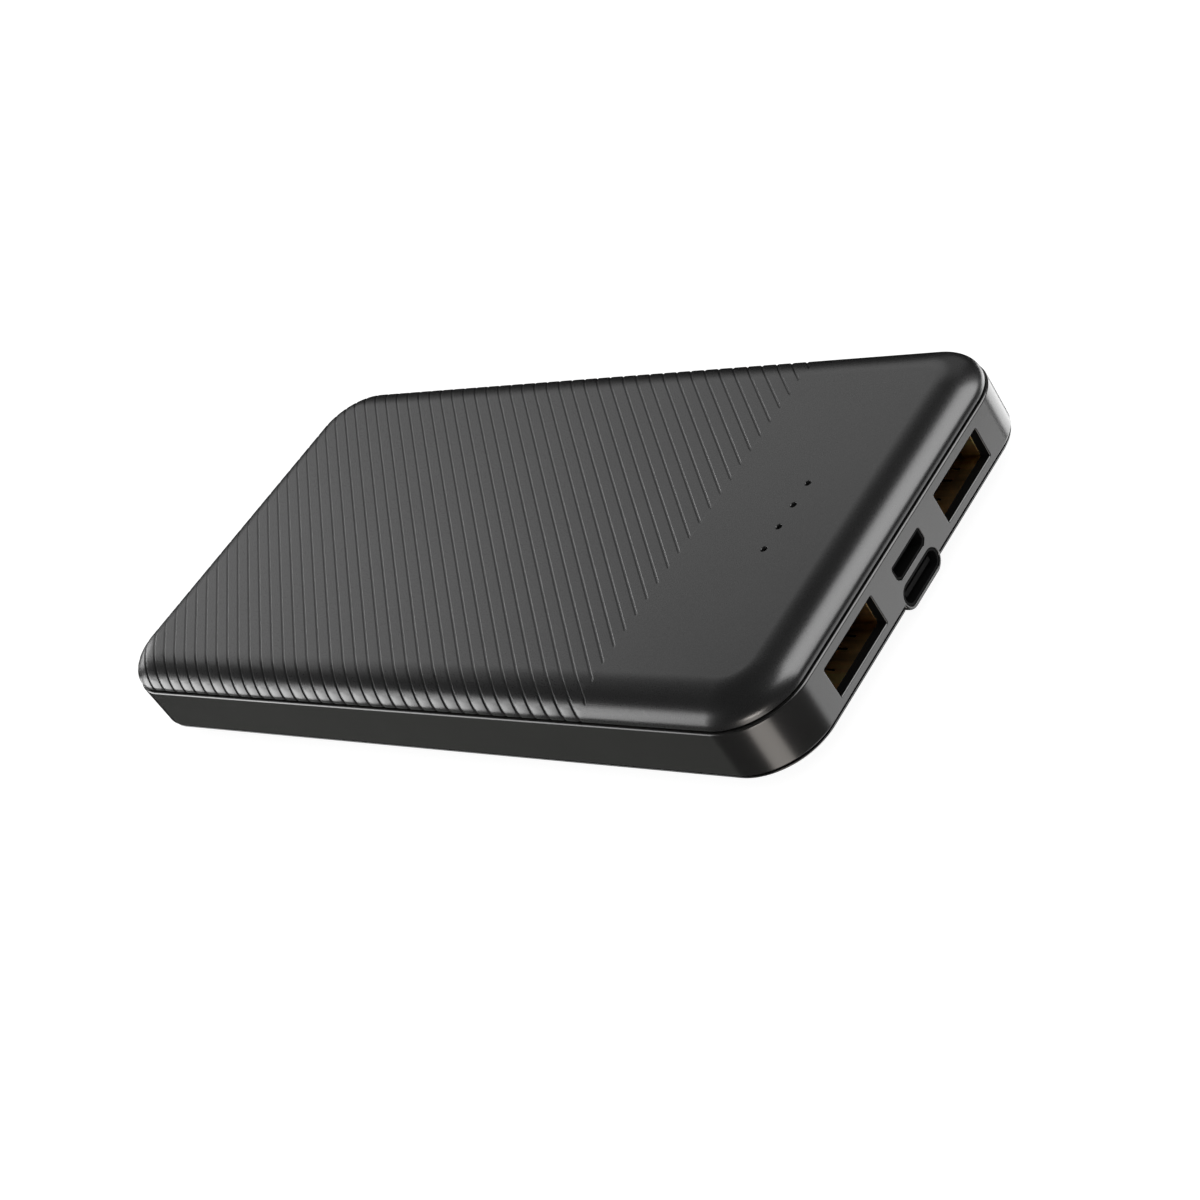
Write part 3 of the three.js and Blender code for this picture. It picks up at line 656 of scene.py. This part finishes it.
def middle_frame():
    """The band with its tab, the four sockets' openings and the key's."""
    columns = corner_columns([-FLAT_END_Y, FLAT_END_Y])
    skin = Skin()
    edge = [(FRAME_EDGE * (1 - sin), FRAME_EDGE * (1 - cos)) for sin, cos in quarter(5)]
    rings = [(inset, FRAME_BOTTOM + step) for inset, step in edge]
    rings += [(inset, FRAME_TOP - step) for inset, step in reversed(edge)]
    rings += [(WALL, FRAME_TOP), (WALL, FRAME_BOTTOM)]
    rows = [skin.ring(columns, inset, z, (1, 0), 0) for inset, z in rings]
    for lower, upper in zip(rows, rows[1:] + rows[:1]):
        skin.join(lower, upper)
    band = new_piece("case_frame", skin.points, skin.faces)
    tab_stations = [(FRONT - TAB_DEPTH, 0.0)] + round_end(FRONT, FRAME_EDGE, 1)
    boolean(band, [bar("tab", "x", tab_outline, tab_stations)], "UNION")
    wall_inner, tab_inner = FRONT - WALL - CUT_PAST, FRONT - TAB_DEPTH - CUT_PAST
    usb_c = stadium(USB_C_WIDTH, USB_C_HEIGHT, 0, USB_C_Z)
    micro = micro_outline()
    usb_c_gap, micro_gap = SHELL_WALL + SHELL_CLEARANCE, MICRO_SHELL_WALL + SHELL_CLEARANCE
    cutters = [
        opening("cut", "x", lambda m: usb_c(m + usb_c_gap), tab_inner, FRONT, SMALL_RIM),
        opening("cut", "x", lambda m: micro(m + micro_gap), wall_inner, FRONT, SMALL_RIM),
    ]
    for y in (-USB_A_Y, USB_A_Y):
        usb_a = rounded_box(USB_A_WIDTH, USB_A_HEIGHT, USB_A_RADIUS, y, USB_A_Z)
        cutters.append(opening("cut", "x", usb_a, wall_inner, FRONT, RIM))
    key = stadium(KEY_WIDTH + 2 * KEY_GAP, KEY_HEIGHT + 2 * KEY_GAP, KEY_X, KEY_Z)
    cutters.append(opening("cut", "y", key, SIDE - WALL - CUT_PAST, SIDE, RIM))
    return boolean(band, cutters)


def notched(cover):
    """Makes room in the bottom cover for the frame's tab."""
    ends = [(FRONT - NOTCH_DEPTH, NOTCH_GAP), (FRONT + CUT_PAST, NOTCH_GAP)]
    return boolean(cover, [bar("notch", "x", tab_outline, ends)])


KEY_PROUD = 0.4
STEM_END_Y = 30.9


def power_key():
    """The key: a cap in the frame's opening, a flange behind the wall, and a stem to the switch."""
    back = SIDE - WALL - 0.05
    cap = stadium(KEY_WIDTH, KEY_HEIGHT, KEY_X, KEY_Z)
    flange = rounded_box(12, 4.2, 1, KEY_X, KEY_Z)
    stem = rounded_box(2.4, 1.4, 0.3, KEY_X, KEY_Z)
    return boolean(
        round_bar("key_cap", "y", cap, back - 0.4, SIDE + KEY_PROUD, 0.3),
        [
            round_bar("flange", "y", flange, back - 0.8, back, 0.08),
            round_bar("stem", "y", stem, STEM_END_Y, back - 0.5, 0.1),
        ],
        "UNION",
    )


SHELL_WIDTH, SHELL_HEIGHT, SHELL_RADIUS, SHELL_DROP = 12.56, 5.24, 0.4, 0.12
SPRING_Y, SPRING_WIDTH, SPRING_THICKNESS = 2.9, 1.9, 0.16
SPRING_LENGTH, SPRING_RISE, SPRING_ROOT = 8.4, 0.5, 2.0
SPRING_STEPS = 12


def usb_a_shell(node, y):
    """A wide socket's shell, with two windows in its floor and a spring finger in each."""
    low, high = box_mm(node)
    wall, edge = 0.18, 0.05
    middle_z = (low.z + high.z) / 2 - SHELL_DROP
    outline = rounded_box(SHELL_WIDTH, SHELL_HEIGHT, SHELL_RADIUS, y, middle_z, 5)
    floor_z = middle_z - SHELL_HEIGHT / 2 - wall / 2
    front = round_end(high.x, edge, 1)
    stations = [(low.x, wall)] + [(depth, wall + margin) for depth, margin in front]
    stations += [(depth, -margin) for depth, margin in reversed(front)] + [(low.x, 0.0)]
    shell = bar(f"{node}_sprung", "x", outline, stations, hollow=True)
    root = high.x - SPRING_ROOT

    def lift(depth):
        return SPRING_RISE * math.sin(math.pi * (root - depth) / SPRING_LENGTH) ** 2

    windows, fingers = [], []
    for middle in (y - SPRING_Y, y + SPRING_Y):
        window = rounded_box(2.6, 2.0, 0.3, middle, floor_z, 4)
        window_end = root - SPRING_LENGTH - 0.6
        windows.append(round_bar("window", "x", window, window_end, root - 0.2, 0.3))
        strip = rounded_box(SPRING_WIDTH, SPRING_THICKNESS, 0.07, middle, floor_z, 4)
        shares = [step / SPRING_STEPS for step in range(SPRING_STEPS + 1)]
        stops = [(root - SPRING_LENGTH * (1 - share), 0.0) for share in shares]
        fingers.append(bar("finger", "x", strip, stops, lift=lift))
    boolean(shell, windows)
    return boolean(shell, fingers, "UNION")


GUIDE_TOP = 13.9


def light_guide():
    """The clear bar under the pinholes, with a pin up to each and a leg at each end."""
    guide = round_bar("guide_bar", "z", rounded_box(2, 16.16, 0.3, LED_X, 0), 7.7, 10.3, 0.15)
    pins = [
        round_bar("pin", "z", rounded_box(0.72, 0.72, 0.359, LED_X, y, 4), 10.0, GUIDE_TOP, 0.1)
        for y in LED_Y
    ]
    pitch = LED_Y[1] - LED_Y[0]
    legs = [
        round_bar("leg", "z", rounded_box(2, 1, 0.12, LED_X, side * 1.85 * pitch), 6.7, 8.0, 0.05)
        for side in (-1, 1)
    ]
    return boolean(guide, pins + legs, "UNION")


def foam_pad(node):
    """A soft pad in place of a CAD node's block."""
    low, high = box_mm(node)
    middle, size = (low + high) / 2, high - low
    outline = rounded_box(size.x, size.y, 3, middle.x, middle.y)
    pad = round_bar(f"{node}_soft", "z", outline, low.z, high.z, 0.2)
    settle(pad, "case", node, "foam")


def settle(obj, body, node, slot):
    """Puts a piece on its body in place of its CAD node, and notes its slot for its finish."""
    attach(obj, body)
    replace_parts(obj, node)
    MADE.append((obj, slot))


def place(obj, body, node, slot):
    """Settles a finished hard piece, shaded by its wide faces."""
    weight_normals(obj)
    settle(obj, body, node, slot)
    return obj


MADE = []


place(top_cover(), "case", "top_cover", "cover")
place(notched(bottom_cover()), "case", "bottom_cover", "cover")
case_frame = place(middle_frame(), "case", "middle_frame", "frame")
place(power_key(), "key", "power_key", "key")
place(light_guide(), "case", "light_guide", "light_guide")
for shell_node, shell_y in (("usb_a_left_shell", -USB_A_Y), ("usb_a_right_shell", USB_A_Y)):
    place(usb_a_shell(shell_node, shell_y), "case", shell_node, "socket_shell")
for pad_node in frame["nodes"]:
    if pad_node.startswith("foam_pad"):
        foam_pad(pad_node)


# ---- Materials ----


def set_fields(node, **values):
    """Sets a shader node's inputs by name, with _ for each space."""
    for field, value in values.items():
        node.inputs[field.replace("_", " ")].default_value = value


def material(name, base, roughness, metallic=0.0, grain=0.15, height=0.004, rough_spread=0.05,
             tone_spread=0.1, stretch=(1, 1, 1), wrinkle=0.0, wrinkle_size=5.0, lines=0.0,
             coat=0.0, ior=1.5, level=0.5):
    """A procedural finish: fine grain in bump and roughness, a drift of tone, and wrinkles.

    grain, height, wrinkle and wrinkle_size are in millimetres; lines darkens a net of thin tracks.
    """
    made = bpy.data.materials.new(name)
    made.use_nodes = True
    nodes, links = made.node_tree.nodes, made.node_tree.links
    shader = nodes["Principled BSDF"]
    set_fields(shader, Metallic=metallic, Coat_Weight=coat, Coat_Roughness=0.1, IOR=ior)
    shader.inputs["Specular IOR Level"].default_value = level
    place_node = nodes.new("ShaderNodeTexCoord")
    spread = nodes.new("ShaderNodeMapping")
    spread.inputs["Scale"].default_value = [s / MM for s in stretch]
    links.new(place_node.outputs["Object"], spread.inputs["Vector"])

    def noise(scale, detail):
        made_noise = nodes.new("ShaderNodeTexNoise")
        set_fields(made_noise, Scale=scale, Detail=detail)
        links.new(spread.outputs["Vector"], made_noise.inputs["Vector"])
        return made_noise.outputs["Fac"]

    def mapped(value, low, high, start=0.3, stop=0.7):
        ranged = nodes.new("ShaderNodeMapRange")
        set_fields(ranged, From_Min=start, From_Max=stop, To_Min=low, To_Max=high)
        links.new(value, ranged.inputs["Value"])
        return ranged.outputs["Result"]

    def bumped(value, distance, under=None):
        bump = nodes.new("ShaderNodeBump")
        set_fields(bump, Strength=1.0, Distance=distance * MM)
        links.new(value, bump.inputs["Height"])
        if under:
            links.new(under, bump.inputs["Normal"])
        return bump.outputs["Normal"]

    fine = noise(1 / grain, 3)
    tone = mapped(noise(0.12, 4), 1 - tone_spread, 1 + tone_spread)
    colour = nodes.new("ShaderNodeVectorMath")
    colour.operation = "SCALE"
    colour.inputs[0].default_value = base
    links.new(tone, colour.inputs["Scale"])
    shown = colour.outputs["Vector"]
    if lines:
        cells = nodes.new("ShaderNodeTexVoronoi")
        cells.feature = "DISTANCE_TO_EDGE"
        set_fields(cells, Scale=0.35)
        links.new(spread.outputs["Vector"], cells.inputs["Vector"])
        tracks = nodes.new("ShaderNodeVectorMath")
        tracks.operation = "SCALE"
        links.new(shown, tracks.inputs[0])
        shade_of = mapped(cells.outputs["Distance"], 1 - lines, 1, 0.05, 0.08)
        links.new(shade_of, tracks.inputs["Scale"])
        shown = tracks.outputs["Vector"]
    links.new(shown, shader.inputs["Base Color"])
    rough = mapped(fine, roughness - rough_spread, roughness + rough_spread)
    links.new(rough, shader.inputs["Roughness"])
    normal = None
    if wrinkle:
        normal = bumped(noise(1 / wrinkle_size, 2), wrinkle)
    links.new(bumped(fine, height, normal), shader.inputs["Normal"])
    return made


LACQUER = {"ior": 1.7, "level": 0.9, "rough_spread": 0.03}
# the matt near-black here is painted shade, used on the opening walls and on the small sockets'
# shells
PAINTED_SHADE_BLACK, MATT_ROUGHNESS, MATT_LEVEL = (0.004, 0.004, 0.004), 0.6, 0.15
COVER_PLASTIC = material(
    "cover_plastic", (0.012, 0.012, 0.0122), 0.29, grain=0.11, height=0.0008, **LACQUER)
FRAME_PLASTIC = material(
    "frame_plastic", (0.0135, 0.0133, 0.0128), 0.22, grain=0.1, height=0.001, **LACQUER)
FINISHES = {
    "cover": COVER_PLASTIC,
    "frame": FRAME_PLASTIC,
    "key": FRAME_PLASTIC,
    "foam": material(
        "foam", (0.055, 0.058, 0.062), 0.95, grain=0.35, height=0.12, tone_spread=0.2),
    "socket_shell": material(
        "plated_shell", (0.95, 0.64, 0.3), 0.36, 1.0, grain=0.05, height=0.001,
        tone_spread=0.5, stretch=(0.15, 2.5, 2.5)),
    # painted shade: the small sockets' shells get a matt near-black in place of plated metal, so
    # that they stay dark in the openings
    "small_shell_painted_shade": material(
        "small_shell_painted_shade", PAINTED_SHADE_BLACK, MATT_ROUGHNESS, grain=0.05, height=0.001,
        stretch=(0.15, 1, 1), level=MATT_LEVEL),
    # painted shade: a matt near-black for the walls inside the sockets' openings
    "opening_painted_shade": material(
        "opening_painted_shade", PAINTED_SHADE_BLACK, MATT_ROUGHNESS, grain=0.1, height=0.002, level=MATT_LEVEL),
    "insulator": material(
        "moulded_black", (0.005, 0.005, 0.005), 0.6, grain=0.08, height=0.002,
        level=MATT_LEVEL),
    "contact": material(
        "gold_plate", (0.62, 0.42, 0.17), 0.42, 1.0, grain=0.04, height=0.0005),
    "cell_film": material(
        "foil_pouch", (0.62, 0.63, 0.65), 0.34, 0.85, grain=0.3, height=0.006,
        wrinkle=0.35, wrinkle_size=9.0),
    "tape": material(
        "amber_tape", (0.62, 0.3, 0.03), 0.28, grain=0.25, height=0.004,
        wrinkle=0.05, wrinkle_size=2.0, coat=0.4),
    "nickel": material(
        "nickel_strip", (0.68, 0.66, 0.62), 0.32, 1.0, grain=0.06, height=0.002,
        stretch=(0.1, 1, 1)),
    "red_lead": material("red_sleeve", (0.45, 0.02, 0.015), 0.5),
    "black_lead": material("black_sleeve", (0.02, 0.02, 0.02), 0.5),
    "board": material(
        "solder_mask", (0.008, 0.085, 0.03), 0.3, grain=0.2, height=0.003,
        lines=0.45, coat=0.3),
    "ferrite": material(
        "pressed_ferrite", (0.05, 0.05, 0.055), 0.65, grain=0.12, height=0.02,
        tone_spread=0.25),
    "chip": material("moulded_epoxy", (0.02, 0.02, 0.022), 0.55, grain=0.06, height=0.003),
    "ceramic": material(
        "sintered_ceramic", (0.42, 0.26, 0.12), 0.45, grain=0.1, tone_spread=0.2),
    "led_body": material("white_moulding", (0.8, 0.78, 0.7), 0.35, grain=0.08, height=0.002),
    # painted shade: the clear guide is given an opaque near-black for the shade inside the case
    "light_guide": material(
        "guide_painted_shade", (0.03, 0.03, 0.031), 0.25, grain=0.2, height=0.001),
    "steel": material(
        "zinc_plate", (0.58, 0.6, 0.63), 0.3, 1.0, grain=0.08, height=0.002,
        stretch=(1, 1, 0.2)),
}

for piece, slot in MADE:
    piece.data.materials.append(FINISHES[slot])

# the walls of the sockets' openings are painted matt near-black: painted shade in the recesses,
# darker than the frame's outside though they are the same plastic
case_frame.data.materials.append(FINISHES["opening_painted_shade"])
for face in case_frame.data.polygons:
    x, y, z = face.center / MM
    near_end = FRONT - TAB_DEPTH - 0.1 < x < FRONT - 0.15 and abs(face.normal.x) < 0.2
    in_wide = abs(abs(y) - USB_A_Y) < 6.4
    in_small = abs(y) < 4.7 and z > TAB_BOTTOM + 0.3
    if near_end and (in_wide or in_small) and FRAME_BOTTOM < z + 2 < FRAME_TOP:
        face.material_index = 1

# the carried-over CAD nodes: what their names hold, their finish and how round their edges are
NODE_FINISHES = [
    # the two small sockets' shells take the painted-shade black, not plated metal
    ("micro_usb_shell", "small_shell_painted_shade", 0.04),
    ("usb_c_shell", "small_shell_painted_shade", 0.04),
    ("_shell", "socket_shell", 0.04),
    ("_insulator", "insulator", 0.08),
    ("_contact_", "contact", 0.04),
    ("cell_tape", "tape", 0.03),
    ("cell_seal", "cell_film", 0.1),
    ("battery_cell", "cell_film", 0.15),
    ("tab_", "nickel", 0.04),
    ("lead_positive", "red_lead", 0.02),
    ("lead_negative", "black_lead", 0.02),
    ("circuit_board", "board", 0.06),
    ("power_inductor", "ferrite", 0.2),
    ("_chip", "chip", 0.05),
    ("sense_resistor", "ceramic", 0.05),
    ("capacitor_", "ceramic", 0.08),
    ("led_", "led_body", 0.06),
    ("board_screw_", "steel", 0.08),
    ("switch_body", "chip", 0.05),
    ("switch_plunger", "led_body", 0.05),
    ("switch_dome", "nickel", 0.03),
]


def smooth_group():
    """A modifier's node group that shades smooth and keeps edges sharper than a limit crisp."""
    group = bpy.data.node_groups.new("smooth_by_angle", "GeometryNodeTree")
    for way in ("INPUT", "OUTPUT"):
        group.interface.new_socket("Geometry", in_out=way, socket_type="NodeSocketGeometry")
    nodes, links = group.nodes, group.links
    enter, leave = nodes.new("NodeGroupInput"), nodes.new("NodeGroupOutput")
    faces, edges = (nodes.new("GeometryNodeSetShadeSmooth") for _ in range(2))
    edges.domain = "EDGE"
    edges.inputs["Shade Smooth"].default_value = False
    angle, limit = nodes.new("GeometryNodeInputMeshEdgeAngle"), nodes.new("FunctionNodeCompare")
    limit.data_type, limit.operation = "FLOAT", "GREATER_THAN"
    limit.inputs["B"].default_value = SHARP_ANGLE
    links.new(angle.outputs["Unsigned Angle"], limit.inputs["A"])
    links.new(limit.outputs["Result"], edges.inputs["Selection"])
    links.new(enter.outputs["Geometry"], faces.inputs["Geometry"])
    links.new(faces.outputs["Geometry"], edges.inputs["Geometry"])
    links.new(edges.outputs["Geometry"], leave.inputs["Geometry"])
    return group


SMOOTH = smooth_group()


def finish_node(name, obj):
    """Rounds a carried-over CAD node's edges and gives it its finish."""
    slot, edge = next((slot, edge) for part, slot, edge in NODE_FINISHES if part in name)
    obj.data.materials.clear()
    obj.data.materials.append(FINISHES[slot])
    step = obj.modifiers.new("edges", "BEVEL")
    step.width = edge * MM
    step.segments = 3
    step.limit_method = "ANGLE"
    step.angle_limit = math.radians(40)
    obj.modifiers.new("smooth", "NODES").node_group = SMOOTH
    obj.modifiers.new("normals", "WEIGHTED_NORMAL").keep_sharp = True


REPLACED = {node for piece in bpy.data.objects for node in piece.get("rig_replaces", [])}
for name, obj in frame["nodes"].items():
    if name not in REPLACED:
        finish_node(name, obj)


# ---- Camera, floor and light ----

CAMERA_PLACE = (0.243451, -0.162464, 0.169277)
CAMERA_TURN = (2.220575939, 0.392490091, -0.915285283)
CAMERA_LENS = 68.70

camera = bpy.data.objects.new("camera", bpy.data.cameras.new("camera"))
bpy.context.scene.collection.objects.link(camera)
turn = Vector(CAMERA_TURN)
seen = Quaternion(turn.normalized(), turn.length).to_matrix().transposed()
facing = seen @ Matrix.Diagonal((1, -1, -1))
camera.matrix_world = Matrix.Translation(CAMERA_PLACE) @ facing.to_4x4()
camera.data.sensor_width = 36.0
camera.data.lens = CAMERA_LENS
camera.data.clip_start = 0.01
bpy.context.scene.camera = camera

CARD_DISTANCE, CARD_TARGET = 1.2, (0, 0, 0.008)
WARM = (1.0, 0.94, 0.88)
GREENISH = (0.97, 1.0, 0.93)


def card(name, azimuth, elevation, radiance, tint=(1, 1, 1)):
    """A soft rectangular light seen only in reflections, over a span of directions in degrees."""
    middle_a = math.radians(sum(azimuth) / 2)
    middle_e = math.radians(sum(elevation) / 2)
    away = Vector((
        math.cos(middle_a) * math.cos(middle_e),
        math.sin(middle_a) * math.cos(middle_e),
        math.sin(middle_e),
    ))
    light = bpy.data.lights.new(name, "AREA")
    light.shape = "RECTANGLE"
    half_a = math.radians(azimuth[1] - azimuth[0]) / 2
    half_e = math.radians(elevation[1] - elevation[0]) / 2
    light.size = 2 * CARD_DISTANCE * math.tan(half_a) * math.cos(middle_e)
    light.size_y = 2 * CARD_DISTANCE * math.tan(half_e)
    light.color = tint
    light.energy = radiance * math.pi * light.size * light.size_y
    obj = bpy.data.objects.new(name, light)
    obj.rotation_mode = "QUATERNION"
    obj.rotation_quaternion = away.to_track_quat("Z", "Y")
    obj.location = Vector(CARD_TARGET) + away * CARD_DISTANCE
    obj.visible_camera = False
    obj.visible_diffuse = False
    bpy.context.scene.collection.objects.link(obj)


card("card_near_left", (-167, -141), (-17, 19), 3.6)
card("card_near_right", (-141, -128), (-8, 22), 2.1)
card("card_near_high", (-156, -130), (22, 36), 2.15)
card("card_near_floor", (-175, -135), (-55, -24), 0.12, GREENISH)
card("card_port_low", (26, 58), (-50, -27), 1.2)
card("card_port_high", (20, 66), (3, 62), 2.5)
card("card_warm", (-78, -42), (-60, -22), 1.45, WARM)
card("card_glint", (-70, -45), (-16, -2), 5.3, WARM)
card("card_far", (66, 110), (-50, -15), 2.5)
card("card_top_right", (118, 149), (18, 38), 0.6)
card("card_top_left", (149, 172), (18, 36), 0.68)
card("card_top_far", (98, 118), (8, 40), 0.2)
card("card_back", (146, 163), (6, 18), 0.4)
card("card_glance", (163, 179), (4, 16), 2.6)
card("card_under", (0, 90), (-85, -58), 0.9)

world = bpy.data.worlds.new("studio")
world.use_nodes = True
set_fields(world.node_tree.nodes["Background"], Color=(1, 1, 1, 1), Strength=1.0)
world.cycles_visibility.glossy = False
bpy.context.scene.world = world

# a hair below the underside, so that the two faces never share a plane
FLOOR_REACH, FLOOR_Z = 3000.0, -0.02
floor_corners = [
    (x * FLOOR_REACH, y * FLOOR_REACH, FLOOR_Z) for x, y in ((-1, -1), (1, -1), (1, 1), (-1, 1))
]
floor = new_piece("floor", floor_corners, [[0, 1, 2, 3]])
floor_paint = bpy.data.materials.new("floor_paint")
floor_paint.use_nodes = True
set_fields(
    floor_paint.node_tree.nodes["Principled BSDF"], Base_Color=(0.25, 0.25, 0.25, 1),
    Roughness=0.9, Specular_IOR_Level=0.0, Emission_Color=(1, 1, 1, 1), Emission_Strength=0.9)
floor.data.materials.append(floor_paint)
floor.visible_glossy = False
floor.visible_shadow = False

bpy.context.scene.view_settings.view_transform = "Standard"
